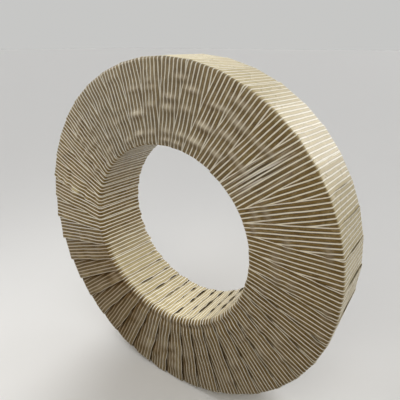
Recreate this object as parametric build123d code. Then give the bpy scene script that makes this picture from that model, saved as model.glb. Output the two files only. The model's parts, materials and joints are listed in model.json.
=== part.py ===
from build123d import *
from build123d.topology import SkipClean
from math import asin, atan, cos, degrees, radians, sin, sqrt
import os

# A coil of narrow stainless steel strip, wound flat turn on turn like a roll of
# tape, and packed in one long striped paper tape that is wound through the bore,
# over both ends and across the rim, each turn lapping the one before it.
# The coil stands on its rim. +Z is up, Y runs along the coil's axis with the front
# end at -Y, and the origin is on the floor, under the middle of the coil.
# All sizes are in millimetres.

# The strip
strip_width = 158.0  # cut width, which is the length of the coil along its axis
strip_bore = 508.0  # inside diameter, from the 20 inch mandrel
strip_outside = 930.0  # outside diameter of the wound steel
shown_turns = 5  # groups of turns that stand out on each end
turn_stagger = 0.8  # how far the turns of a group run out of line along the axis

# The wrapping tape
tape_width = 86.0
tape_turns = 41  # turns of the tape around the ring
wrap_wall = 3.0  # tape layers with the air under them
seat_gap = 0.5  # between the steel and the inside of the wrap
lap_step = 1.0  # how far a lapping edge stands out at the rim
corner_radius = 8.0  # rounding of the tape where it folds over the coil's corners

# What follows from them
bore_radius = strip_bore / 2 - seat_gap - wrap_wall
rim_flat = strip_outside / 2 + seat_gap + wrap_wall  # axis to the flat of a turn
half_width = strip_width / 2 + seat_gap + wrap_wall
pitch = 360 / tape_turns  # degrees from one tape turn to the next
edge_offset = tape_width / 2  # a turn's edge passes this far beside the coil's axis
lap_tilt = degrees(atan(lap_step / (rim_flat * radians(pitch))))
fold_radius = min(corner_radius, 2.6 * wrap_wall)  # more would open the corner
flat_angle = degrees(asin(edge_offset / rim_flat)) - pitch / 2 - lap_tilt
foot_angle = 270.0  # the coil stands on the two turn edges each side of this angle


def ring(inner_radius, outer_radius, height):
    """A plain ring around Z, half above and half below the XY plane."""
    return Cylinder(outer_radius, height) - Cylinder(inner_radius, height)


def stand(shape):
    """Turns a ring made around Z onto its rim, with its upper end to the front."""
    rim_edge = on_edge(0, rim_reach(0))
    axis_height = rim_edge.length * cos(radians(pitch / 2))
    return Pos(0, 0, axis_height) * Rot(90, 0, 0) * shape


def stepped_end(side):
    """Points along one end of the steel, from the bore out, with its groups of turns."""
    inner, outer = strip_bore / 2, strip_outside / 2
    group = (outer - inner) / shown_turns
    proud, sunk = side * strip_width / 2, side * (strip_width / 2 - turn_stagger)
    points = []
    for i in range(shown_turns):
        points += [(inner + i * group, 0, proud), (inner + (i + 1) * group, 0, sunk)]
    return points


def strip_coil():
    """The wound strip: one turned ring, its turns showing on both ends."""
    outline = stepped_end(1) + stepped_end(-1)[::-1]
    profile = make_face(Polyline(*outline, close=True))
    return revolve(profile, Axis.Z)


def on_edge(direction, along):
    """A point on the edge of the tape turn that runs out in the given direction."""
    return Vector(along, edge_offset).rotate(Axis.Z, direction)


def rim_reach(direction):
    """How far along a turn's edge its flat on the rim begins."""
    lean = radians(direction - flat_angle)
    return (rim_flat + edge_offset * sin(lean)) / cos(lean)


def turn_outline():
    """The part of a tape turn that the next turn leaves bare, seen along the axis."""
    inside = bore_radius / 2
    return Polyline(
        on_edge(0, inside),
        on_edge(0, rim_reach(0)),
        on_edge(-pitch, rim_reach(-pitch)),
        on_edge(-pitch, inside),
        close=True,
    )


def lapped_face(side):
    """The plane of a turn's tape on one end: proud at its own edge, sunk at the next."""
    tilt = radians(lap_tilt)
    return Plane(
        origin=(0, edge_offset, side * half_width),
        x_dir=(1, 0, 0),
        z_dir=(0, -sin(tilt), side * cos(tilt)),
    )


def bore_sleeve():
    """Everything outside the bore, with the tape's folds at the bore's two mouths."""
    fold = half_width - fold_radius
    clear = half_width + 2 * lap_step
    outer = rim_flat * 1.2
    mouth = bore_radius + fold_radius
    bend = fold_radius * (1 - sqrt(0.5))
    half = Polyline(
        (outer, 0, 0),
        (bore_radius, 0, 0),
        (bore_radius, 0, fold),
        (bore_radius + bend, 0, half_width - bend),
        (mouth, 0, half_width),
        (mouth, 0, clear),
        (outer, 0, clear),
        close=True,
    )
    sleeve = revolve(make_face(half), Axis.Z)
    return sleeve + mirror(sleeve, Plane.XY)


def tape_turn():
    """One turn of the tape around the ring: two ends, the rim and the bore."""
    turn = extrude(make_face(turn_outline()), half_width * 1.1, both=True)
    for side in (1, -1):
        turn = split(turn, bisect_by=lapped_face(side), keep=Keep.BOTTOM)
    turn = fillet(turn.edges().filter_by(is_rim_fold), fold_radius)
    return turn & bore_sleeve()


def is_rim_fold(edge):
    """True for the two edges where the rim's flat meets the ends."""
    middle = edge.center()
    return abs(middle.Z) > half_width / 2 and Vector(middle.X, middle.Y).length > rim_flat * 0.99


def paper_wrap():
    """The whole wrap: its turns side by side around the ring, hollow for the steel."""
    turn = tape_turn()
    edge_angle = degrees(atan(edge_offset / rim_reach(0)))
    around = PolarLocations(0, tape_turns, start_angle=foot_angle + pitch / 2 - edge_angle)
    space = ring(
        strip_bore / 2 - seat_gap,
        strip_outside / 2 + seat_gap,
        strip_width + 2 * seat_gap,
    )
    # Each turn keeps its own patch of the bore's wall and folds
    with SkipClean():
        return Part() + [place * turn for place in around] - space


def write(node, shape):
    """Writes one piece as its own STEP file, standing in place."""
    export_step(stand(shape), os.path.join("parts", node + ".step"))


os.makedirs("parts", exist_ok=True)
write("strip_coil", strip_coil())
write("paper_wrap", paper_wrap())
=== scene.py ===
import itertools
import json
import math

import bpy
import numpy as np
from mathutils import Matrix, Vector

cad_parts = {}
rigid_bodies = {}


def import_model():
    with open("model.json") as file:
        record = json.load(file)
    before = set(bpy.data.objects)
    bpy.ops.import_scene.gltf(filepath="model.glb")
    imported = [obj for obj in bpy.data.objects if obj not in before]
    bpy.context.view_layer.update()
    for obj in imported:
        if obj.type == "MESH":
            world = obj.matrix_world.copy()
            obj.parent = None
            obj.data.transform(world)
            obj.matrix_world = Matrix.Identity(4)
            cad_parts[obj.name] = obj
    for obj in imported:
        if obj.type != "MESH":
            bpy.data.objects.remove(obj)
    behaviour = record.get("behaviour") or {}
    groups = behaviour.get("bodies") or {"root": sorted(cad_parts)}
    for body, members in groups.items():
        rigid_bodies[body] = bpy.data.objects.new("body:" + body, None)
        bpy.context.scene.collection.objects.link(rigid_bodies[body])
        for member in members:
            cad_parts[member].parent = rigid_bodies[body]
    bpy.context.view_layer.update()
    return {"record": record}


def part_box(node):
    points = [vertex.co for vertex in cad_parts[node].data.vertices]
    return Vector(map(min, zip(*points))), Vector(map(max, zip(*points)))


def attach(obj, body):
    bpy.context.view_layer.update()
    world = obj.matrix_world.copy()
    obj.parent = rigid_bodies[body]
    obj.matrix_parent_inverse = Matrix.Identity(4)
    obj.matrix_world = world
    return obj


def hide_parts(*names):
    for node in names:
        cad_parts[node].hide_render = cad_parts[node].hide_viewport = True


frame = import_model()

# A standing coil of steel strip, packed in one long striped tape. The steel is the
# frame's own node. The tape is built here, turn by turn, as it is wound round the ring:
# across the rim to the back, down the back end, through the bore and up the front end.
# Lengths are in metres and angles in degrees. Angles go round the ring from +X to +Z.

bore = frame["record"]["mounts"][0]
axis_height = bore["pos_m"][2]
bore_radius = bore["dims"]["r_mm"] / 1000
steel_low, steel_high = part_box("strip_coil")
steel_radius = (steel_high[0] - steel_low[0]) / 2
steel_half_width = (steel_high[1] - steel_low[1]) / 2

# The tape
tape_width = 0.086
stripe_count = 8
stripe_gap = 0.0114  # from one white stripe to the next on the flat tape
edge_stripe = 0.001  # from the tape's upper edge to the middle of its first stripe
hem_width = 0.0013  # folded under along each edge
hem_sink = 0.0009  # how far the hem's fold lies under the tape
turns = 41
pitch = 360 / turns
first_edge = 34.8  # where the first turn's upper edge crosses the rim
rim_slant = 1.0  # how far a turn advances across the rim
bore_slant = 2.4  # and through the bore
layer = 0.0006  # one lap of tape, with the air in it
tail = 0.1  # the tape's end, down the back

# The surface that the lowest tape lies on: its room outside the steel's rim and ends,
# and the room for the laps between it and the bore
rim_room = 0.003
end_room = 0.0017
bore_room = 0.0018
rim_base = steel_radius + rim_room
end_base = steel_half_width + end_room
bore_base = bore_radius + bore_room
end_depth = rim_base - bore_base  # from the rim in to the bore
fold = 0.0045  # radius of the folds at the coil's corners
floor_gap = 0.0004  # the tape stays this far over the floor

# A turn is wound over four legs. These are its mesh's rows on each, and on each fold
RIM, BACK, BORE, FRONT = range(4)
ROWS = {RIM: 15, BACK: 28, BORE: 24, FRONT: 50}
FOLD_ROWS = 4
# The mesh's columns at the tape's two edges, with a hem folded under past each
UPPER, LOWER = 1, -2

# How the wrap changes round the ring: (angle, value) stops.
# First the winding: how far an edge strays from an even pitch, in degrees, the share of
# its width that the tape keeps, and how far to one side of the coil's axis it passes.
STRAY = [
    (17, 1.3), (35, 0.0), (44, 0.0), (53, -0.8), (62, 0.0), (84, 1.8), (106, 2.0), (128, 3.1),
    (185, 3.3), (203, 5.3), (245, 5.3), (254, 6.1), (272, 4.9), (284, 3.0), (330, 2.6), (343, 0.9),
]
GATHER = [
    (0, 0.98), (60, 1.0), (150, 0.99), (215, 0.97), (245, 0.94), (280, 0.98), (325, 0.95), (345, 0.96),
]
LEAN = [
    (8, 0.03), (20, 0.01), (30, 0.0), (55, 0.003), (64, 0.015), (72, 0.014), (82, 0.0), (130, 0.004),
    (165, 0.012), (188, 0.009), (200, 0.016), (212, 0.023), (226, 0.011), (240, 0.016), (252, 0.026),
    (268, 0.014), (282, 0.007), (298, 0.017), (318, 0.014), (348, 0.014), (358, 0.028),
]
# How much its threads sway sideways
CRUMPLE = [(60, 0.7), (205, 0.9), (245, 2.2), (275, 2.2), (295, 0.9), (330, 0.7)]

# Then the relief of the bare tape: the edge that stands up and the power it falls off
# with, the arch, the stripes as ridges, loose ripples and the edge's flutter
SHINGLE = [
    (20, 0.0001), (120, 0.0006), (150, 0.0018), (172, 0.0036), (205, 0.0044), (235, 0.0032),
    (262, 0.0026), (285, 0.0018), (340, 0.0008),
]
STEEPNESS = [(190, 2.5), (240, 1.4), (280, 1.3), (310, 2.5)]
PUFF = [(30, 0.0006), (120, 0.001), (200, 0.0014), (262, 0.003), (300, 0.0018), (345, 0.001)]
PLEAT = [(5, 0.0009), (60, 0.0004), (110, 0.0009), (190, 0.0013), (250, 0.0014), (330, 0.0014)]
RIPPLE = [
    (0, 0.001), (42, 0.0006), (62, 0.0014), (110, 0.002), (190, 0.0012), (235, 0.0018),
    (265, 0.004), (292, 0.0018), (335, 0.001),
]
FLUTTER = [(30, 0.0001), (120, 0.0004), (200, 0.001), (250, 0.0014), (345, 0.0006)]
# And the relief that all the laps share: rolls over the ends, the front's belly, which
# grows from the rim in to the bore, and the bead round the bore's mouth
ROLLS = [
    (20, 0.001), (55, 0.0008), (92, 0.0022), (140, 0.003), (190, 0.0024), (225, 0.0016),
    (265, 0.0026), (300, 0.0012), (345, 0.0012),
]
BELLY = [(150, 0.0), (225, 0.005), (290, 0.005), (340, 0.0)]
MOUTH = [
    (120, 0.0), (205, 0.0006), (238, 0.0026), (250, 0.0036), (278, 0.003), (310, 0.0018), (345, 0.0),
]

# Last the painted light, as shares: painted shade beside the front's gaping edges, painted shade
# down each turn of the front with a painted highlight on its upper part, painted shade towards its
# lower left, painted grey shade over its upper part, and painted sheen on the brown in the bore
SHADE = [(180, 0.3), (205, 0.6), (238, 1.4), (272, 1.2), (292, 0.5), (335, 0.3), (350, 0.0)]
# Painted shade down each turn of the front, with a painted highlight on its upper part
PLANK = [(190, 0.0), (215, 0.6), (240, 1.0), (268, 1.0), (292, 0.4), (315, 0.0)]
# Painted shade that darkens the front towards its lower left
LOW_LEFT_SHADE = [(20, 0.0), (185, 0.0), (210, 0.5), (245, 0.56), (262, 0.27), (300, 0.13), (350, 0.08)]
# Painted shade that greys the front's upper part
UPPER_GREY_SHADE = [(12, 0.0), (35, 0.03), (62, 0.2), (85, 0.36), (125, 0.34), (150, 0.12), (168, 0.0), (340, 0.0)]
# Painted sheen that makes the brown paler in the bore
BORE_SHEEN = [(180, 0.0), (225, 1.0), (285, 1.1), (330, 0.4), (350, 0.0)]
# The painted shadow in the slot under a gaping edge: half its width on the ends and rim, and in the
# bore
SLOT = [(215, 0.001), (250, 0.0013), (290, 0.001), (335, 0.0009)]
bore_slot = 0.0016

# How far the tape strays sideways: all of it, its threads, its edge, and a gaping edge
whole_sway = 0.0012
thread_sway = 0.0009
edge_sway = 0.0009
gape_sway = 0.001
# How far in from the edge these die out: its own sway and a gape's rise, a gape's sway,
# and the flutter
edge_reach = 0.012
gape_reach = 0.014
flutter_reach = 0.008

# Laps and gapes. A pair is for the front and for the rest, and as a reach for what lies
# below the gaping edge and above it
least_bare = 2.0  # degrees that a turn shows at least
lapped_turns = 4  # first turns that the last ones lie over
last_slope = 0.014  # over which the last turns climb the first one's edge
lowest_lap = 0.3  # share of a layer under all laps
last_lap = 0.7  # and under the last turns, over the first ones
sunk_turns = 3  # turns that sink under a gaping edge
gape_rise = (0.0013, 0.0022)
gape_sink = (0.0016, 0.003)
sink_reach = (0.009, 0.006)
shade_reach = (0.0095, 0.00665)
bore_stretch = 0.25  # a gape of the bore runs on past both ends by this share of its length
window_ramp = 0.35  # share of a slack place over which it grows, and again shrinks

# Forms of the relief
deepest_sink = 0.001  # under the surface that the lowest tape lies on
calm_height = 0.01  # what stands higher keeps only a share of the rest
calmed = 0.4
roll_cells = 6.5  # rolls along a leg
pucker_rise = 0.0022
pucker_width = 0.01
lip_rise = 0.003
bead_rise = 0.9  # share of MOUTH
bead_width = 0.009
dent_place = 0.014  # from the bore's mouth, beside the bead
dent_width = 0.008
swell_rise = 1.8  # share of MOUTH, past the dent
swell_place = 0.036
swell_width = 0.014

# Paint: shares of full painted shade, and of full painted sheen and highlight where the brown is lit
high_bulge = 0.003  # height of a bulge that is lit in full
low_bulge = 0.0055  # the same in the ring's lower half, where there is less light
lower_half = 200  # which starts at this angle
# Painted highlight, painted shade and painted glare on the bulges
bulge_highlight = 1.3
bulge_dark = 0.42
bulge_glare = 0.42
bulge_highlight_share = 0.3
# Painted shadow under the bead round the bore's mouth
bead_dark = 120  # for each metre that the bead stands up
bead_shadow = 0.0115  # where it falls, from the bore's mouth
bead_shadow_width = 0.004
# Painted shade and painted highlight down each turn of the front
plank_dark = 0.34
plank_highlight = 0.9
# Painted sheen on the loose waves and puckers
wave_sheen = 0.35
pucker_sheen = 0.8
# Painted sheen on the rim and in the bore
rim_sheen = 1.55
bore_sheen_share = 1.5
# Painted highlight on a curled lip
lip_highlight = 280  # for each metre that a lip stands up
worn_place = (0.03, 0.52)  # across the last turn, and its depth in from the rim
worn_size = (0.026, 0.32)

# Slack places where a turn's edge gapes: for each turn, shares of the leg from and to,
# and strength. The front is wound from the bore out, the bore from the back.
FRONT_GAPES = {
    1: [(0.2, 0.8, 0.25)],
    3: [(0.7, 0.98, 0.3)],
    4: [(0.7, 0.97, 0.4), (0.28, 0.5, 0.4)],
    5: [(0.68, 0.98, 0.24), (0.46, 0.58, 0.36), (0.12, 0.28, 0.42)],
    6: [(0.8, 0.97, 0.42), (0.5, 0.74, 0.42), (0.26, 0.46, 0.54)],
    7: [(0.66, 0.86, 0.48), (0.3, 0.46, 0.54), (0.1, 0.24, 0.48)],
    8: [(0.8, 0.95, 0.24), (0.43, 0.66, 0.6), (0.12, 0.32, 0.48)],
    9: [(0.76, 0.92, 0.36), (0.38, 0.54, 0.6), (0.12, 0.25, 0.48)],
    10: [(0.68, 0.86, 0.48), (0.36, 0.58, 0.6), (0.12, 0.26, 0.48)],
    11: [(0.8, 0.97, 0.42), (0.2, 0.7, 0.8), (0.04, 0.16, 0.4)],
    12: [(0.72, 0.92, 0.3), (0.34, 0.7, 0.6), (0.08, 0.26, 0.45)],
    13: [(0.44, 0.9, 0.6), (0.12, 0.4, 0.7), (0.02, 0.1, 0.4)],
    14: [(0.5, 1.0, 0.6), (0.14, 0.46, 0.75)],
    15: [(0.7, 1.0, 0.6), (0.44, 0.62, 0.25), (0.24, 0.46, 0.8)],
    16: [(0.52, 0.84, 0.8), (0.8, 1.0, 0.35), (0.2, 0.46, 0.45)],
    17: [(0.4, 0.95, 0.4), (0.08, 0.42, 0.8)],
    18: [(0.4, 0.85, 0.35), (0.08, 0.42, 0.8)],
    19: [(0.5, 0.85, 0.25), (0.06, 0.4, 0.4)],
    20: [(0.36, 0.62, 0.23), (0.02, 0.36, 0.39)],
    21: [(0.08, 0.96, 0.68)],
    22: [(0.2, 0.96, 0.7)],
    24: [(0.5, 0.76, 0.5), (0.2, 0.38, 0.8)],
    25: [(0.12, 0.28, 0.6)],
    26: [(0.5, 0.95, 0.4)],
    27: [(0.5, 0.75, 0.4)],
}
BORE_GAPES = {
    11: [(0.58, 0.72, 1.0), (0.3, 0.48, 1.0), (0.0, 0.13, 1.2)],
    12: [(0.66, 0.77, 0.8), (0.44, 0.53, 0.5), (0.04, 0.16, 0.9)],
    13: [(0.57, 0.76, 1.0), (0.37, 0.54, 1.0), (0.04, 0.16, 0.9)],
    14: [(0.58, 0.72, 0.5), (0.04, 0.16, 0.8)],
    15: [(0.74, 0.93, 0.9), (0.39, 0.51, 0.9), (0.06, 0.31, 1.1)],
    16: [(0.42, 0.5, 0.3), (0.08, 0.19, 1.0)],
    17: [(0.49, 0.68, 1.0), (0.29, 0.41, 0.7), (0.02, 0.18, 0.8)],
    18: [(0.44, 0.66, 1.1), (0.06, 0.23, 1.0)],
    19: [(0.54, 0.81, 1.1), (0.05, 0.16, 0.8)],
    20: [(0.04, 0.14, 0.7)],
    21: [(0.04, 0.13, 0.7)],
    22: [(0.04, 0.13, 0.6)],
    23: [(0.04, 0.12, 0.6)],
}
RIM_GAPES = {
    2: [(0.1, 0.9, 0.4)], 3: [(0.0, 1.0, 0.3)], 4: [(0.2, 0.9, 0.4)], 5: [(0.1, 1.0, 0.5)],
    6: [(0.1, 0.9, 0.25)],
}
BACK_GAPES = {
    6: [(0.6, 0.85, 0.5)], 8: [(0.5, 0.8, 0.7)], 9: [(0.2, 0.5, 0.6)], 10: [(0.6, 0.9, 0.7)],
    11: [(0.3, 0.7, 0.8)], 12: [(0.5, 1.0, 0.6)], 13: [(0.2, 0.6, 0.9)], 14: [(0.1, 1.0, 0.7)],
    15: [(0.4, 0.9, 0.9)], 16: [(0.0, 0.7, 0.8)], 17: [(0.3, 1.0, 0.6)], 18: [(0.1, 0.8, 0.5)],
}
GAPES = {RIM: RIM_GAPES, BACK: BACK_GAPES, BORE: BORE_GAPES, FRONT: FRONT_GAPES}

# Where a turn's edge curls up on the front, in the same way
LIPS = {
    20: [(0.5, 0.75, 0.5), (0.04, 0.34, 1.8)],
    21: [(0.65, 0.95, 1.0), (0.25, 0.55, 1.0)],
    22: [(0.55, 0.85, 1.2), (0.2, 0.5, 0.6)],
    23: [(0.65, 1.0, 0.8), (0.42, 0.58, 1.2), (0.2, 0.38, 0.8)],
    24: [(0.6, 1.0, 0.8)],
    25: [(0.6, 0.9, 0.5)],
    26: [(0.82, 0.95, 1.4), (0.66, 0.78, 1.4), (0.38, 0.62, 3.0), (0.18, 0.3, 1.4)],
    27: [(0.4, 0.8, 0.5)],
    28: [(0.35, 0.65, 0.9)],
}
# Bulges on the front that all the laps share: angle, depth in from the rim, half their
# length round the ring in degrees, half their width as a share of the depth, height, and
# for those that slant, by how many degrees over the whole depth
BULGES = [
    (6, 0.7, 4, 0.047, 0.002), (11, 0.12, 2.5, 0.039, 0.002), (13, 0.55, 3, 0.039, 0.0022),
    (20, 0.91, 2.5, 0.027, 0.0026), (26, 0.7, 4, 0.039, 0.002), (26, 0.84, 4, 0.031, 0.0019),
    (44, 0.31, 2, 0.031, 0.0022), (46, 0.69, 3, 0.035, 0.0028), (48, 0.35, 3, 0.031, 0.0019),
    (52, 0.67, 3, 0.031, 0.0024), (57, 0.36, 4, 0.039, 0.0028), (58, 0.81, 3.5, 0.035, 0.0033),
    (58, 0.55, 4, 0.035, 0.0028), (60, 0.16, 4, 0.035, 0.002), (66, 0.33, 3, 0.035, 0.0032, 60),
    (68, 0.62, 4, 0.035, 0.0045), (70, 0.84, 4, 0.035, 0.0045), (77, 0.29, 3, 0.031, 0.0026),
    (78, 0.84, 2.5, 0.031, 0.0026), (78, 0.52, 3, 0.031, 0.0019), (80, 0.95, 3, 0.023, 0.0022),
    (82, 0.19, 2.5, 0.031, 0.0022), (86, 0.43, 3, 0.031, 0.0022), (87, 0.57, 3.5, 0.039, 0.0022),
    (87, 0.85, 3.5, 0.035, 0.0022), (87, 0.95, 3, 0.023, 0.0024), (95, 0.25, 2.5, 0.031, 0.0015),
    (95, 0.34, 2.5, 0.031, 0.0018), (96, 0.55, 2.5, 0.035, 0.002), (97, 0.88, 2.5, 0.031, 0.002),
    (103, 0.33, 3, 0.031, 0.0018), (104, 0.64, 4, 0.035, 0.003), (105, 0.89, 3.5, 0.035, 0.003),
    (115, 0.92, 2.5, 0.031, 0.002), (118, 0.65, 2, 0.031, 0.0015), (127, 0.74, 2, 0.031, 0.0013),
    (132, 0.88, 3, 0.035, 0.0018), (135, 0.46, 2, 0.031, 0.0015), (137, 0.62, 2, 0.031, 0.0016),
    (139, 0.23, 3, 0.031, 0.0016), (139, 0.33, 2.2, 0.027, -0.0021), (140, 0.45, 2, 0.027, -0.0021),
    (141, 0.67, 2.2, 0.027, -0.0021), (142, 0.91, 2.2, 0.023, -0.0019), (144, 0.31, 2.5, 0.031, 0.0018),
    (144, 0.44, 2, 0.031, 0.0018), (145, 0.58, 2, 0.031, 0.0016), (148, 0.51, 2, 0.027, -0.0021),
    (150, 0.72, 2, 0.027, -0.0021), (151, 0.83, 3, 0.031, 0.0018), (151, 0.9, 2, 0.023, -0.0019),
    (165, 0.35, 2.2, 0.031, -0.0021), (167, 0.7, 2, 0.031, -0.0021), (169, 0.91, 2, 0.023, -0.0019),
    (224, 0.2, 2, 0.05, 0.002), (224, 0.34, 2, 0.05, 0.002), (225, 0.82, 3.5, 0.1, 0.004, 12),
    (249, 0.6, 3, 0.08, 0.003, 20), (259, 0.27, 3, 0.1, 0.004, 22), (265, 0.32, 2.2, 0.05, 0.003, 10),
    (269, 0.47, 3, 0.08, 0.004, 20), (273, 0.2, 3, 0.06, 0.003), (273, 0.5, 2, 0.05, 0.0028, 10),
    (274, 0.36, 2.2, 0.05, 0.0028, 10), (281, 0.45, 2.5, 0.07, 0.0022, 10),
    (300, 0.2, 2.2, 0.05, 0.0024), (306, 0.4, 2.5, 0.06, 0.0024), (320, 0.66, 2.5, 0.035, 0.002),
    (322, 0.4, 3, 0.07, 0.0024), (325, 0.74, 3, 0.04, 0.0022), (327, 0.22, 2, 0.03, 0.0022),
    (330, 0.61, 2.5, 0.03, 0.0022), (332, 0.38, 3, 0.07, 0.0022), (334, 0.83, 2.5, 0.035, 0.0022),
    (344, 0.08, 2, 0.04, 0.0026), (349, 0.8, 2.5, 0.04, 0.002), (353, 0.09, 2, 0.04, 0.0028),
    (357, 0.5, 2.5, 0.05, 0.0024), (358, 0.67, 3, 0.05, 0.0026),
]
# Puckers across a turn's bare part on the front, as depths in from the rim
PUCKERS = {
    2: [0.5], 11: [0.3], 13: [0.72], 14: [0.6, 0.34], 15: [0.62, 0.28], 16: [0.4, 0.7], 17: [0.86],
    18: [0.88], 20: [0.84, 0.72], 25: [0.5, 0.42], 26: [0.6, 0.3], 28: [0.3, 0.55, 0.82, 0.93],
    29: [0.3, 0.45, 0.6, 0.96], 30: [0.3, 0.72, 0.85], 31: [0.37, 0.62, 0.95],
    32: [0.12, 0.5, 0.64, 0.92], 33: [0.28, 0.62, 0.88], 34: [0.13, 0.2, 0.3, 0.5, 0.96],
    35: [0.45, 0.55, 0.8, 0.96], 36: [0.6, 0.83, 0.96], 37: [0.6, 0.82], 38: [0.77],
}

lattice_size = 32
lattice = np.random.default_rng(43).uniform(-1, 1, (lattice_size, lattice_size, lattice_size))


def smooth_noise(x, y, z):
    """Values between -1 and 1 that change smoothly over each unit of x, y and z."""
    coords = np.broadcast_arrays(x, y, z)
    cells = [np.floor(c).astype(int) for c in coords]
    parts = [c - i for c, i in zip(coords, cells)]
    parts = [p * p * (3 - 2 * p) for p in parts]
    total = 0
    for corner in itertools.product((0, 1), repeat=3):
        weight = 1
        for part, side in zip(parts, corner):
            weight = weight * (part if side else 1 - part)
        knot = tuple((i + side) % lattice_size for i, side in zip(cells, corner))
        total = total + weight * lattice[knot]
    return total


def ramp(value):
    """Smooth step from 0 at 0 to 1 at 1."""
    value = np.clip(value, 0, 1)
    return value * value * (3 - 2 * value)


def hill(value):
    """One at 0, falling smoothly to nothing at about 2 on each side."""
    return np.exp(-value * value)


def round_ring(angle, stops):
    """A value that changes smoothly round the ring through (angle, value) stops."""
    angle = np.mod(angle, 360)
    stops = sorted(stops)
    angles = np.array([stops[-1][0] - 360] + [a for a, _ in stops] + [stops[0][0] + 360])
    values = np.array([stops[-1][1]] + [v for _, v in stops] + [stops[0][1]])
    place = np.clip(np.searchsorted(angles, angle, side="right") - 1, 0, len(angles) - 2)
    share = ramp((angle - angles[place]) / (angles[place + 1] - angles[place]))
    return values[place] * (1 - share) + values[place + 1] * share


def section_rows():
    """One turn of the tape in winding order, as rows: leg, share, place and normal.

    A leg is one straight stretch of the ring's section with the fold that ends it.
    Places and normals are (radius, y) pairs.
    """
    corners = {
        RIM: ((rim_base, -end_base), (1, 0)),
        BACK: ((rim_base, end_base), (0, 1)),
        BORE: ((bore_base, end_base), (-1, 0)),
        FRONT: ((bore_base, -end_base), (0, -1)),
    }
    rows = []
    for leg in (RIM, BACK, BORE, FRONT):
        start = Vector(corners[leg][0])
        out = Vector(corners[leg][1])
        along = Vector(corners[(leg + 1) % 4][0]) - start
        length = along.length
        along.normalize()
        for i in range(ROWS[leg]):
            share = i / ROWS[leg]
            rows.append((leg, share, start + along * (fold + (length - 2 * fold) * share), out))
        pivot = start + along * (length - fold) - out * fold
        for i in range(FOLD_ROWS):
            bend = math.pi / 2 * i / FOLD_ROWS
            normal = out * math.cos(bend) + along * math.sin(bend)
            rows.append((leg, 1.0, pivot + normal * fold, normal))
    return rows


def tape_columns():
    """Places across the tape: hems, edges, all stripes but the first, and most middles."""
    near_edge = 0.003
    stripes = [edge_stripe + i * stripe_gap for i in range(1, stripe_count)]
    middles = [edge_stripe + (i + 0.5) * stripe_gap for i in range(1, stripe_count - 2)]
    inner = [near_edge] + sorted(stripes + middles) + [tape_width - near_edge]
    return np.array([hem_width, 0.0] + inner + [tape_width, tape_width - hem_width])


def line_through(bore_angle, rim_angle):
    """Direction and offset of the straight lines between angles at the bore and rim."""
    near_angle, far_angle = np.radians(bore_angle), np.radians(rim_angle)
    near = np.array([np.cos(near_angle), np.sin(near_angle)]) * bore_base
    far = np.array([np.cos(far_angle), np.sin(far_angle)]) * rim_base
    way = (far - near) / np.linalg.norm(far - near, axis=0)
    direction = np.degrees(np.arctan2(way[1], way[0]))
    direction = rim_angle + np.mod(direction - rim_angle + 180, 360) - 180
    return direction, way[0] * near[1] - way[1] * near[0]


def on_line(direction, offset, radius, across):
    """Angle at a radius of the line that runs beside the given line at that distance."""
    return direction + np.degrees(np.arcsin((offset + across) / radius))


def before(values):
    """The value of the turn before each turn, to spread over rows and columns."""
    return values[:-1, None, None]


def own(values):
    """Each turn's own value, to spread in the same way."""
    return values[1:, None, None]


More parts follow.
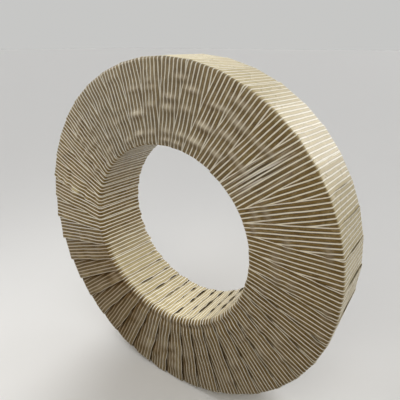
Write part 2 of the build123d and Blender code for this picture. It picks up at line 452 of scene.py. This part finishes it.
class Tape:
    """The wound tape as arrays over turn, row and column."""

    def __init__(self):
        rows = [np.array(values) for values in zip(*section_rows())]
        self.leg, self.share, self.place, self.normal = rows
        self.radius = self.place[:, :1]
        self.depth = 1 - self.share[:, None]  # on the front, from the rim in
        self.flat = tape_columns()
        self.turn = np.arange(turns + 1)[:, None, None]
        self.on_tail = (self.leg == RIM) | ((self.leg == BACK) & (self.share < tail / end_depth))
        self.on_front = (self.leg == FRONT)[:, None]
        # How far each row faces out, along the coil's axis and in
        self.on_rim = np.clip(self.normal[:, :1], 0, None) ** 2
        self.on_end = self.normal[:, 1:] ** 2
        self.in_bore = np.clip(-self.normal[:, :1], 0, None) ** 2
        self.wind()
        self.lap()
        self.form()

    def wind(self):
        """Where each point of the tape lies, before it is raised off the ring."""
        # Where each upper edge crosses the rim, and the lines of the tape on both ends
        even = first_edge - pitch * np.arange(-1, turns + 1)
        edge = even + round_ring(even, STRAY)
        gather = round_ring(edge, GATHER)
        lean = round_ring(edge, LEAN)
        half = tape_width * gather / 2
        front = edge - np.degrees(np.arcsin((lean + half) / rim_base))
        bore_back = on_line(front, lean, bore_base, 0) + bore_slant
        rim_back = on_line(front, lean, rim_base, 0)
        rim_back = np.append(rim_back[0] + pitch, rim_back[:-1]) - rim_slant
        back, back_lean = line_through(bore_back, rim_back)

        # The straight lines of the ends are joined across the rim and through the bore
        leg = self.leg[None, :, None]
        mix = np.where((leg == RIM) | (leg == BORE), self.share[None, :, None], 0)
        self.gather = np.where(leg == RIM, before(gather) * (1 - mix) + own(gather) * mix, own(gather))
        self.across = self.flat * self.gather
        step = np.linalg.norm(np.diff(self.place, axis=0, append=self.place[:1]), axis=1)
        run = np.concatenate([[0], np.cumsum(np.tile(step, turns + 1))[:-1]])
        self.run = run.reshape(turns + 1, len(step))[..., None]
        self.crumple = round_ring(own(edge), CRUMPLE)
        across = tape_width * self.gather / 2 - self.across - self.sway()
        front_before = on_line(before(front), before(lean), self.radius, across)
        on_front = on_line(own(front), own(lean), self.radius, across)
        on_back = on_line(own(back), own(back_lean), self.radius, across)
        over_rim = front_before * (1 - mix) + on_back * mix
        in_bore = on_back * (1 - mix) + on_front * mix
        places = [over_rim, on_back, in_bore]
        self.angle = np.select([leg == RIM, leg == BACK, leg == BORE], places, on_front)

    def lap(self):
        """How much of each turn the next one leaves bare, and where a point lies in it."""
        edge = self.angle[:, :, UPPER]
        bare = edge[:-1] - edge[1:]
        bare = np.concatenate([bare, bare[-1:]])
        whole = edge - self.angle[:, :, LOWER]
        bare[turns] = whole[turns]
        bare[turns - 1] = np.where(self.on_tail, bare[turns - 1], whole[turns - 1])
        self.bare = np.radians(np.maximum(bare, least_bare))[..., None] * self.radius
        self.part = self.across / self.bare
        self.laps = (tape_width * self.gather - self.across) / self.bare

    def form(self):
        """The forms that both the relief and the colour follow."""
        # Across a turn: its bare part, its painted shading there, its arch, and its lower part as
        # far as the next turn's edge
        self.shown = self.bare_part()
        self.plank = self.shown * self.on_front * round_ring(self.angle, PLANK)
        self.arch = np.clip(4 * self.part * (1 - self.part), 0, 1)
        self.tuck = ramp((self.part - 0.1) / 0.4) * ramp((1.25 - self.part) / 0.2)
        # Along a turn: the distance from the bore's front mouth, and the bead there
        from_mouth = [self.share * end_depth, (1 - self.share) * 2 * end_base]
        far = 1.0
        self.from_mouth = np.select([self.leg == FRONT, self.leg == BORE], from_mouth, far)[:, None]
        uneven = 0.9 + 0.4 * smooth_noise(self.turn * 1.9, 0.5, 8.1)
        self.mouth = round_ring(self.angle, MOUTH) * uneven
        # Over the whole turn: curled edges, puckers and loose waves
        self.curl = self.curls()
        self.pucker = self.puckers() * self.arch
        swell = self.cloth_noise(length=0.05, width=0.05, step=0.5, seed=9)
        wave = 0.5 + 0.5 * self.cloth_noise(length=0.017, width=0.05, step=0.8, seed=20, slant=1.2)
        self.wave = wave ** 1.5 * ramp(0.5 + swell)

    def turn_noise(self, length, step, seed):
        """Noise over this length along the tape, and by this step from turn to turn."""
        return smooth_noise(self.run / length, self.turn * step, seed)

    def cloth_noise(self, length, width, step, seed, slant=0.0):
        """Noise over this length and width of the tape, its cells slanting across it."""
        along = (self.run - slant * self.flat) / length
        return smooth_noise(along, self.flat / width, self.turn * step + seed)

    def facing(self, rim, bore):
        """One on the ends, and these shares on the rim and in the bore."""
        return self.on_end + rim * self.on_rim + bore * self.in_bore

    def below(self, edge, turn):
        """How far a turn's points lie below an edge at these angles, along the ring."""
        return np.radians(edge[..., None] - self.angle[turn]) * self.radius

    def turns_under(self, turn):
        """The turns under a turn, and how far their points lie below its edge."""
        for under in range(max(0, turn - sunk_turns), turn):
            yield under, self.below(self.angle[turn, :, UPPER], under)

    def window(self, leg, start, end):
        """One over the middle of part of a leg, falling to nothing at its ends."""
        reach = (end - start) * window_ramp
        bump = ramp((self.share - start) / reach) * ramp((end - self.share) / reach + (end >= 1))
        return (bump * (self.leg == leg))[:, None]

    def gapes(self):
        """Each turn with slack places, and how slack it is there along its rows."""
        for leg, gaping in GAPES.items():
            for turn, places in gaping.items():
                for start, end, strength in places:
                    more = (end - start) * (bore_stretch if leg == BORE else 0)
                    yield turn, strength * self.window(leg, start - more, end + more)

    def sway(self):
        """How far the tape strays sideways, away from its upper edge."""
        whole = whole_sway * self.turn_noise(length=0.09, step=0.7, seed=3.3)
        threads = thread_sway * self.cloth_noise(length=0.04, width=0.02, step=1.0, seed=7.5)
        edge = edge_sway * self.turn_noise(length=0.03, step=0.9, seed=11.7)
        sway = whole + self.crumple * threads + edge * np.exp(-self.flat / edge_reach)
        for turn, window in self.gapes():
            sway[turn] += gape_sway * window * np.exp(-self.flat / gape_reach)
        return sway

    def bare_part(self):
        """One where a turn lies bare, falling to nothing under the turn that laps it."""
        shown = ramp((1 - self.part) / 0.12)
        lower = self.angle[:, :, LOWER]
        last_lower = np.where(self.on_tail, lower[turns], lower[turns - 1])
        for turn in range(lapped_turns):
            shown[turn] *= ramp(self.below(last_lower, turn) / 0.008)
        return shown

    def puckers(self):
        """Short ridges across the tape on the front."""
        ridges = np.zeros_like(self.angle)
        for turn, depths in PUCKERS.items():
            for place in depths:
                wander = 0.012 * smooth_noise(self.flat / 0.03, turn * 1.7, place * 40)
                away = (self.depth - place - wander) * end_depth
                size = 0.6 + 0.4 * smooth_noise(turn * 2.3, place * 60, 0.5)
                ridges[turn] += size * hill(away / pucker_width) * self.on_front
        return ridges

    def curls(self):
        """How far the curled edges of the front stand up."""
        curl = np.zeros_like(self.angle)
        for turn, places in LIPS.items():
            for start, end, strength in places:
                near_edge = np.clip(1 - self.part[turn], 0, 1) ** 3
                curl[turn] += lip_rise * strength * self.window(FRONT, start, end) * near_edge
        return curl

    def at_bulges(self):
        """For each bulge of the front: its angle, height and width, how much of it is at
        each point, how far each point lies off its middle, and its reach up the front."""
        for at, deep, reach, width, high, *slant in BULGES:
            off = self.depth - deep
            along = (np.mod(self.angle, 360) - at - sum(slant) * off) / reach
            upward = width * math.sin(math.radians(at))
            yield at, high, width, hill(along) * self.on_front, off, upward

    def lapped(self):
        """The height of the laps, with the last turns lying over the first ones."""
        height = layer * (lowest_lap + self.laps)
        for last in (turns - 2, turns - 1, turns):
            over = ramp(self.below(self.angle[0, :, UPPER], last) / last_slope + 0.5)
            height[last] += layer * (last_lap + self.laps[0]) * over
        return height

    def shared_relief(self):
        """What all the laps do: flats across the rim, rolls, bulges, belly and bead."""
        inside = self.part - np.floor(np.clip(self.part, 0, None))
        half_turn = self.bare / self.radius * (inside - 0.5)
        height = self.on_rim * rim_base * (1 / np.cos(half_turn) - 1)
        round_cells = np.mod(self.angle, 360) * lattice_size / 360
        rolls = smooth_noise(self.share[:, None] * roll_cells, round_cells, 3.7 * self.leg[:, None])
        height += self.on_end * round_ring(self.angle, ROLLS) * (0.5 + 0.5 * rolls)
        for _, high, width, beside, off, _ in self.at_bulges():
            height += high * beside * hill(off / width)
        height += self.on_end * round_ring(self.angle, BELLY) * self.on_front * self.depth
        return height + bead_rise * self.mouth * hill(self.from_mouth / bead_width)

    def bare_relief(self):
        """What only the bare part of a turn does."""
        angle = self.angle
        uneven = 0.8 + 0.6 * self.turn_noise(length=0.045, step=1.1, seed=31.3)
        falling = np.clip(1 - self.part, 0, 1) ** round_ring(angle, STEEPNESS)
        shingle = round_ring(angle, SHINGLE) * uneven * falling + self.curl
        swell = self.mouth * self.tuck * hill((self.from_mouth - swell_place) / swell_width)
        puff = round_ring(angle, PUFF) * self.arch ** 0.8 + swell_rise * swell
        ridge = 0.5 + 0.5 * np.cos(2 * np.pi * (self.flat - edge_stripe) / stripe_gap)
        wilt = 0.75 + 0.45 * self.cloth_noise(length=0.04, width=0.012, step=1.0, seed=2.2)
        pleat = round_ring(angle, PLEAT) * ridge * wilt * self.facing(rim=0.6, bore=0.6)
        ripple = round_ring(angle, RIPPLE) * self.wave * self.facing(rim=0.25, bore=0.3)
        flutter = 0.6 + 0.6 * self.turn_noise(length=0.035, step=1.3, seed=5.1)
        lift = round_ring(angle, FLUTTER) * flutter * np.exp(-self.across / flutter_reach)
        dent = 0.5 * hill((self.from_mouth - dent_place) / dent_width) * (self.mouth > 0.0005)
        outward = self.facing(rim=0.25, bore=0.4) * (1 - dent)
        creased = pleat + ripple + pucker_rise * self.pucker
        return self.shown * ((shingle + puff) * outward + creased) + lift * outward

    def height(self):
        """How far each point stands off the ring."""
        height = self.lapped() + self.shared_relief() + self.bare_relief()
        rise = np.where(self.on_front, *gape_rise)
        sink = np.where(self.on_front, *gape_sink)
        for turn, window in self.gapes():
            height[turn] += rise * window * np.exp(-self.across[turn] / edge_reach)
            for under, past in self.turns_under(turn):
                reach = np.where(past > 0, *sink_reach)
                height[under] -= sink * window * hill(past / reach)
        height = np.maximum(height, 0.1 * layer * self.laps - deepest_sink)
        height = np.minimum(height, calm_height + calmed * (height - calm_height))
        hem = np.zeros_like(self.flat)
        hem[[0, -1]] = -hem_sink
        return height + hem

    def bulge_light(self):
        """The painted highlights and painted shade of the front's bulges, as if lit from above."""
        pale, shade = 0, 0
        for at, high, width, beside, off, upward in self.at_bulges():
            lit = beside * high / (high_bulge if at < lower_half else low_bulge)
            above = 0.7 * upward
            under = np.sign(high) * 1.1 * upward
            pale = pale + np.clip(bulge_highlight * lit, 0, 1.6) * hill((off + above) / width)
            shade = shade + bulge_dark * np.abs(lit) * hill((off - under) / width)
        return pale, np.clip(shade, 0, 0.55)

    def darkness(self, bulge_shade):
        """How far each point is in painted shade: beside bulges, under the bead, down each turn,
        towards the front's lower left, and beside gaping edges.
        """
        bead_place = hill((self.from_mouth - bead_shadow) / bead_shadow_width)
        dark = bead_dark * self.mouth * self.tuck * bead_place * self.on_end + bulge_shade
        dark += plank_dark * self.plank * np.clip(self.part, 0, 1) ** 2
        # Painted shade, darker towards the front's lower left
        dark += self.on_front * round_ring(self.angle, LOW_LEFT_SHADE)
        for turn, window in self.gapes():
            shade = round_ring(self.angle[turn, :, UPPER], SHADE)[:, None] * self.on_front
            for under, past in self.turns_under(turn):
                reach = np.where(past > 0, *shade_reach)
                dark[under] += shade * window * hill(past / reach)
        return np.clip(dark, 0, 1)

    def paleness(self, bulge_light):
        """How much paler the brown is painted at each point: painted sheen on waves, puckers, rim
        and bore, and painted highlights on bulges, lips and the upper part of each turn.
        """
        creased = wave_sheen * self.wave + pucker_sheen * self.pucker
        pale = self.shown * np.clip(creased, 0, 1.0)
        pale += rim_sheen * self.on_rim
        pale += bore_sheen_share * self.in_bore * round_ring(self.angle, BORE_SHEEN)
        pale += bulge_highlight_share * bulge_light + lip_highlight * self.curl * self.shown
        return pale + plank_highlight * self.plank * hill((self.part - 0.2) / 0.25)

    def worn(self):
        """How worn each point is: one place on the front of the last turn."""
        across = hill((self.flat - worn_place[0]) / worn_size[0])
        deep = hill((self.depth - worn_place[1]) / worn_size[1])
        return (self.turn == turns - 1) * self.on_front * across * deep

    def slots(self):
        """How slack the next turn lies, how far a point is past its edge, and half the
        width of the painted shadow in the slot under that edge."""
        slack = np.zeros_like(self.angle)
        for turn, window in self.gapes():
            slack[turn - 1] += window
        past_next = np.full_like(self.angle, -1.0)
        past_next[:-1] = self.below(self.angle[1:, :, UPPER], slice(None, -1))
        in_bore = (self.leg == BORE)[:, None]
        return slack, past_next, np.where(in_bore, bore_slot, round_ring(self.angle, SLOT))

    def paint(self):
        """Each point's values for the material, by the names of their attributes."""
        light, shade = self.bulge_light()
        # Painted grey shade over the upper front
        grey_shade = round_ring(self.angle, UPPER_GREY_SHADE) * self.on_front
        # Attributes: painted shade, painted sheen and highlights, and the worn place; the painted slot
        # shadow; and painted grey shade and painted glare
        return {
            "state": (self.darkness(shade), self.paleness(light), self.worn()),
            "slot": self.slots(),
            "tint": (grey_shade, bulge_glare * light, np.zeros_like(self.angle)),
        }


def grid_mesh(name, points):
    """A smooth mesh of squares over a grid of points."""
    rows, columns = points.shape[:2]
    index = np.arange(rows * columns).reshape(rows, columns)
    corners = [index[:-1, :-1], index[:-1, 1:], index[1:, 1:], index[1:, :-1]]
    squares = np.stack(corners, -1).reshape(-1, 4)
    mesh = bpy.data.meshes.new(name)
    mesh.vertices.add(rows * columns)
    mesh.vertices.foreach_set("co", points.astype(np.float32).ravel())
    mesh.loops.add(squares.size)
    mesh.loops.foreach_set("vertex_index", squares.astype(np.int32).ravel())
    mesh.polygons.add(len(squares))
    mesh.polygons.foreach_set("loop_start", np.arange(0, squares.size, 4, dtype=np.int32))
    mesh.update(calc_edges=True)
    mesh.shade_smooth()
    mesh.set_sharp_from_angle(angle=math.radians(60))
    return mesh


def new_object(name, data):
    """A new object in the scene."""
    made = bpy.data.objects.new(name, data)
    bpy.context.scene.collection.objects.link(made)
    return made


def make_tape(material):
    """The tape as one mesh, which ends a little way down the back of its last turn."""
    tape = Tape()
    height = tape.height()
    radius = tape.radius + height * tape.normal[:, :1]
    angle = np.radians(tape.angle)
    x = radius * np.cos(angle)
    y = tape.place[:, 1:] + height * tape.normal[:, 1:]
    z = np.maximum(axis_height + radius * np.sin(angle), floor_gap)
    kept = turns * len(tape.leg) + ROWS[RIM] + FOLD_ROWS + int(tail / end_depth * ROWS[BACK])

    def kept_rows(values):
        return np.stack(values, -1).reshape(-1, len(tape.flat), 3)[:kept]

    mesh = grid_mesh("paper_tape", kept_rows((x, y, z)))
    values = tape.paint()
    values["tape"] = np.broadcast_arrays(tape.flat, tape.run, tape.turn)
    for name, each in values.items():
        attribute = mesh.attributes.new(name, "FLOAT_VECTOR", "POINT")
        attribute.data.foreach_set("vector", kept_rows(each).astype(np.float32).ravel())
    mesh.materials.append(material)
    piece = new_object("paper_tape", mesh)
    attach(piece, "root")
    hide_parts("paper_wrap")


class Nodes:
    """Short ways to write the nodes of a material or of the world."""

    def __init__(self, owner):
        owner.use_nodes = True
        self.owner = owner
        self.nodes = owner.node_tree.nodes
        self.links = owner.node_tree.links
        self.shader = self.nodes.get("Principled BSDF")

    def put(self, socket, value):
        """Links an output to the socket, or sets the socket to a plain value."""
        if isinstance(value, bpy.types.NodeSocket):
            self.links.new(value, socket)
        elif value is not None:
            socket.default_value = value

    def surface(self, name, value):
        """Sets an input of the surface to a value or another node's output."""
        self.put(self.shader.inputs[name], value)

    def math(self, operation, *values):
        node = self.nodes.new("ShaderNodeMath")
        node.operation = operation
        for socket, value in zip(node.inputs, values):
            self.put(socket, value)
        return node.outputs[0]

    def add(self, first, second):
        return self.math("ADD", first, second)

    def subtract(self, first, second):
        return self.math("SUBTRACT", first, second)

    def times(self, first, second):
        return self.math("MULTIPLY", first, second)

    def larger(self, first, second):
        return self.math("MAXIMUM", first, second)

    def split(self, vector):
        node = self.nodes.new("ShaderNodeSeparateXYZ")
        self.links.new(vector, node.inputs[0])
        return node.outputs[:]

    def attribute(self, name):
        node = self.nodes.new("ShaderNodeAttribute")
        node.attribute_name = name
        return self.split(node.outputs["Vector"])

    def vector(self, x, y, z):
        node = self.nodes.new("ShaderNodeCombineXYZ")
        for socket, value in zip(node.inputs, (x, y, z)):
            self.put(socket, value)
        return node.outputs[0]

    def noise(self, vector, detail):
        """Noise with cells of one unit."""
        node = self.nodes.new("ShaderNodeTexNoise")
        self.put(node.inputs["Vector"], vector)
        node.inputs["Scale"].default_value = 1
        node.inputs["Detail"].default_value = detail
        return node.outputs["Fac"]

    def span(self, value, low, high, to_low=0, to_high=1, smooth=True):
        """The value carried from one range to another, and kept inside it."""
        node = self.nodes.new("ShaderNodeMapRange")
        node.interpolation_type = "SMOOTHSTEP" if smooth else "LINEAR"
        self.put(node.inputs["Value"], value)
        ends = {"From Min": low, "From Max": high, "To Min": to_low, "To Max": to_high}
        for name, number in ends.items():
            node.inputs[name].default_value = number
        return node.outputs["Result"]

    def mix(self, factor, first, second, blend="MIX"):
        """Two colours mixed: the first at a factor of 0, the second at 1."""
        node = self.nodes.new("ShaderNodeMix")
        node.data_type = "RGBA"
        node.blend_type = blend
        self.put(node.inputs["Factor"], factor)
        self.put(node.inputs[6], first)
        self.put(node.inputs[7], second)
        return node.outputs[2]

    def bump(self, height, distance, strength, normal=None):
        node = self.nodes.new("ShaderNodeBump")
        node.inputs["Strength"].default_value = strength
        node.inputs["Distance"].default_value = distance
        self.put(node.inputs["Height"], height)
        self.put(node.inputs["Normal"], normal)
        return node.outputs[0]

    def seen(self):
        """One for rays that show in the picture, zero for those that only light."""
        rays = self.nodes.new("ShaderNodeLightPath").outputs
        seen = self.larger(rays["Is Camera Ray"], rays["Is Glossy Ray"])
        return self.larger(seen, rays["Is Transmission Ray"])


# Colours of the tape, and of its painted light and shade
brown_deep = (0.225, 0.143, 0.04, 1)
brown_light = (0.315, 0.215, 0.072, 1)
blotch_dark = (0.13, 0.074, 0.024, 1)
blotch_pale = (0.43, 0.335, 0.17, 1)
streak_dark = (0.15, 0.09, 0.02, 1)
weave_dark = (0.1, 0.065, 0.02, 1)
# Painted sheen and highlights
sheen_pale = (0.7, 0.6, 0.34, 1)
torn_pale = (0.94, 0.91, 0.84, 1)  # the worn place's threads
torn_dark = (0.06, 0.042, 0.02, 1)  # and its gaps
white_clean = (0.97, 0.94, 0.85, 1)
white_dull = (0.91, 0.86, 0.73, 1)
# Painted grey shade
shade_grey = (0.14, 0.15, 0.15, 1)
# Painted glare
glare_pale = (0.62, 0.57, 0.47, 1)
shade_tint = (0.34, 0.22, 0.1, 1)  # multiplies the colour in full shade
# Painted shadow in the slots
slot_shadow = (0.075, 0.043, 0.016, 1)

# A white stripe: white as far as the first distance from its middle, and brown past the
# other, with darker brown beside it
stripe_half = (0.0014, 0.0019)
stripe_shade = 0.004


def stripes(made, across, wander):
    """How white the tape is, and how bright the brown is beside its white stripes."""
    straight = made.subtract(made.add(across, wander), edge_stripe)
    cell = made.math("FRACT", made.add(made.math("DIVIDE", straight, stripe_gap), 0.5))
    beside = made.times(made.math("ABSOLUTE", made.subtract(cell, 0.5)), stripe_gap)
    white = made.span(beside, *stripe_half, 1, 0)
    return white, made.span(beside, stripe_half[1], stripe_shade, 0.62, 0.97)


def tape_material():
    """Brown paper with fine white stripes, after the tape's own values at each point."""
    made = Nodes(bpy.data.materials.new("striped_tape"))
    across, along, turn = made.attribute("tape")
    # Painted shade, painted sheen and highlights, and the worn place
    dark, painted_sheen, worn = made.attribute("state")
    slack, past, slot_width = made.attribute("slot")
    # Painted grey shade and painted glare
    grey_shade, glare, _ = made.attribute("tint")
    scaled_turn = made.times(turn, 0.37)

    def threads(across_scale, along_scale, detail=2):
        """Noise stretched over the tape by its cells for each metre, new on each turn."""
        place = (made.times(across, across_scale), made.times(along, along_scale), scaled_turn)
        return made.noise(made.vector(*place), detail)

    wander = made.span(threads(60, 25), 0.2, 0.8, -0.0003, 0.0003, smooth=False)
    stripe, beside_stripe = stripes(made, across, wander)

    # Brown paper, streaked along the tape and clouded, made paler by painted sheen and highlights
    streaks = threads(500, 9, 3)
    clouds = threads(22, 14, 3)
    patches = threads(130, 45, 3)
    weave = threads(420, 190)
    hairs = threads(240, 5, 1)
    brown = made.mix(made.span(clouds, 0.3, 0.7), brown_deep, brown_light)
    layers = [
        (made.span(patches, 0.52, 0.68, 0, 0.75), blotch_dark),
        (made.span(patches, 0.5, 0.32, 0, 0.7), blotch_pale),
        (made.span(streaks, 0.3, 0.75, 0, 0.6), streak_dark),
        (made.span(weave, 0.35, 0.65, 0, 0.45), weave_dark),
        (made.span(painted_sheen, 0.3, 2, 0, 0.8), sheen_pale),
        (made.times(worn, made.span(hairs, 0.475, 0.505, 0.05, 1)), torn_pale),
        (made.times(worn, made.span(hairs, 0.465, 0.43, 0, 0.9)), torn_dark),
    ]
    for share, colour in layers:
        brown = made.mix(share, brown, colour)
    brown = made.mix(1, brown, made.vector(*[beside_stripe] * 3), "MULTIPLY")
    white = made.mix(made.span(streaks, 0.3, 0.7), white_clean, white_dull)
    colour = made.mix(stripe, brown, white)

    # Over both: painted grey shade, painted glare, painted shade, and painted shadow in the slots under
    # gaping edges
    colour = made.mix(grey_shade, colour, shade_grey)
    colour = made.mix(glare, colour, glare_pale)
    colour = made.mix(dark, colour, made.mix(1, colour, shade_tint, "MULTIPLY"))
    away = made.larger(made.times(past, -1), made.times(past, 0.25))
    opening = made.times(slot_width, made.span(slack, 0.03, 0.55, smooth=False))
    slot = made.span(made.subtract(away, opening), -0.0006, 0.0003, 1, 0)
    slot = made.times(slot, made.span(slack, 0.03, 0.2, 0, 0.92))
    colour = made.mix(slot, colour, slot_shadow)
    made.surface("Base Color", colour)

    # A fine twill over crossways creases
    twill_gap = 0.0017
    twill = made.math("SINE", made.times(made.add(across, along), 2 * math.pi / twill_gap))
    normal = made.bump(threads(40, 230), 0.0012, 0.35)
    normal = made.bump(twill, 0.00012, 0.2, normal)
    made.surface("Normal", normal)
    gloss = made.span(clouds, 0.3, 0.7, 0.24, 0.34)
    made.surface("Roughness", made.larger(gloss, made.larger(dark, slot)))
    made.surface("Specular IOR Level", 0.4)
    made.surface("Specular Tint", (1, 0.84, 0.58, 1))
    made.surface("Sheen Weight", 0.3)
    made.surface("Sheen Roughness", 0.45)
    made.surface("Sheen Tint", (1, 0.88, 0.55, 1))
    return made.owner


def steel_material():
    """Bright rolled strip, with its many turns as fine rings round the coil's axis."""
    made = Nodes(bpy.data.materials.new("strip_steel"))
    place = made.nodes.new("ShaderNodeNewGeometry")
    x, y, z = made.split(place.outputs["Position"])
    up = made.subtract(z, axis_height)
    radius = made.math("SQRT", made.add(made.times(x, x), made.times(up, up)))
    rings = made.vector(made.times(radius, 2500), made.times(y, 8), 0)
    turn_lines = made.noise(rings, 3)
    steel = made.mix(turn_lines, (0.42, 0.42, 0.43, 1), (0.66, 0.66, 0.67, 1))
    made.surface("Base Color", steel)
    made.surface("Roughness", made.span(turn_lines, 0.3, 0.7, 0.25, 0.42))
    made.surface("Normal", made.bump(turn_lines, 0.0004, 0.6))
    made.surface("Metallic", 1)
    return made.owner


def dress_steel():
    """Gives the frame's own steel ring its material."""
    steel = steel_material()
    for node in bpy.data.objects:
        if node.name.startswith("strip_coil") and node.type == "MESH":
            for slot in node.material_slots:
                slot.material = steel


# The photo's camera, fitted to the circles of the coil's rim and bore
camera_place = (0.61, -0.814, 0.967)
camera_turn = (72.4925, 0, 34.6527)  # in degrees, about X, Y and Z
lens = 35.055  # millimetres on a sensor 36 wide
lens_shift = (0.0074, -0.0857)


def make_camera():
    """The camera of the photo."""
    data = bpy.data.cameras.new("camera")
    camera = new_object("camera", data)
    camera.location = camera_place
    camera.rotation_euler = [math.radians(turn) for turn in camera_turn]
    data.lens = lens
    data.shift_x, data.shift_y = lens_shift
    data.clip_start = 0.01
    bpy.context.scene.camera = camera


# Lamps far away: which way each stands, how bright it is, and how wide, in degrees
lamp_distance = 6
LAMPS = {
    "top": ((0.28, -0.4, 1), 0.45, 40),
    "back_right": ((0.5, 0.9, 1), 0.2, 50),
    "back_left": ((-0.5, 0.65, 0.55), 2.2, 42),
    "back_low": ((0.35, 0.93, 0.15), 1.3, 50),
    "right": ((1, 0.1, 0), 1.7, 50),
}
# Lamps near the coil, whose light falls off down its front: place, power, size, colour
NEAR_LAMPS = {
    "key": ((-0.84, -0.5, 1.3), 4.7, 0.6, (1, 1, 1)),
    "gloss": ((-0.8, -1.5, 1.15), 1.9, 0.4, (1, 0.95, 0.86)),
    "side": ((0.42, -1.22, 1.28), 6.4, 0.6, (1, 0.93, 0.8)),
}
near_lamp_aim = (-0.1, -0.08, 0.55)
# Lamps that no mirrored highlight shows, because theirs would clip to white
matt_lamps = ("back_left", "side", "right")


def place_lamp(data, place, aim):
    """Puts a lamp in its place, turned to what it lights."""
    light = new_object(data.name, data)
    light.location = place
    light.rotation_mode = "QUATERNION"
    light.rotation_quaternion = (Vector(place) - Vector(aim)).to_track_quat("Z", "Y")
    light.visible_glossy = data.name not in matt_lamps
    return light


def make_lamps():
    """Soft suns round the coil, and soft square lamps near its front."""
    for name, (towards, strength, spread) in LAMPS.items():
        data = bpy.data.lights.new(name, "SUN")
        data.energy = strength
        data.angle = math.radians(spread)
        place_lamp(data, Vector(towards).normalized() * lamp_distance, (0, 0, 0))
    for name, (place, power, size, colour) in NEAR_LAMPS.items():
        data = bpy.data.lights.new(name, "AREA")
        data.energy = power
        data.size = size
        data.color = colour
        place_lamp(data, place, near_lamp_aim).visible_camera = False


# The floor and the world look pale, and light the coil less than they show
floor_size = 60
floor_seen = (0.74, 0.74, 0.735, 1)
floor_lighting = (0.11, 0.09, 0.065, 1)
world_seen = (0.57, 0.57, 0.56, 1)
world_lighting = (1, 0.9, 0.76, 1)
world_strength = 0.07


def make_floor():
    """The plain floor that the coil stands on."""
    corners = [(-1, -1, 0), (1, -1, 0), (1, 1, 0), (-1, 1, 0)]
    mesh = bpy.data.meshes.new("floor")
    mesh.from_pydata([Vector(c) * floor_size for c in corners], [], [(0, 1, 2, 3)])
    floor = new_object("floor", mesh)
    made = Nodes(bpy.data.materials.new("floor"))
    made.surface("Base Color", made.mix(made.seen(), floor_lighting, floor_seen))
    made.surface("Roughness", 0.9)
    made.surface("Specular IOR Level", 0.1)
    mesh.materials.append(made.owner)


def make_world():
    """A plain pale backdrop, with faint warm light from all round."""
    made = Nodes(bpy.data.worlds.new("world"))
    lighting = made.nodes["Background"]
    lighting.inputs["Color"].default_value = world_lighting
    lighting.inputs["Strength"].default_value = world_strength
    backdrop = made.nodes.new("ShaderNodeBackground")
    backdrop.inputs["Color"].default_value = world_seen
    both = made.nodes.new("ShaderNodeMixShader")
    made.put(both.inputs[0], made.seen())
    made.put(both.inputs[1], lighting.outputs[0])
    made.put(both.inputs[2], backdrop.outputs[0])
    made.put(made.nodes["World Output"].inputs["Surface"], both.outputs[0])
    bpy.context.scene.world = made.owner


make_tape(tape_material())
dress_steel()
make_camera()
make_lamps()
make_floor()
make_world()
bpy.context.scene.view_settings.view_transform = "Standard"
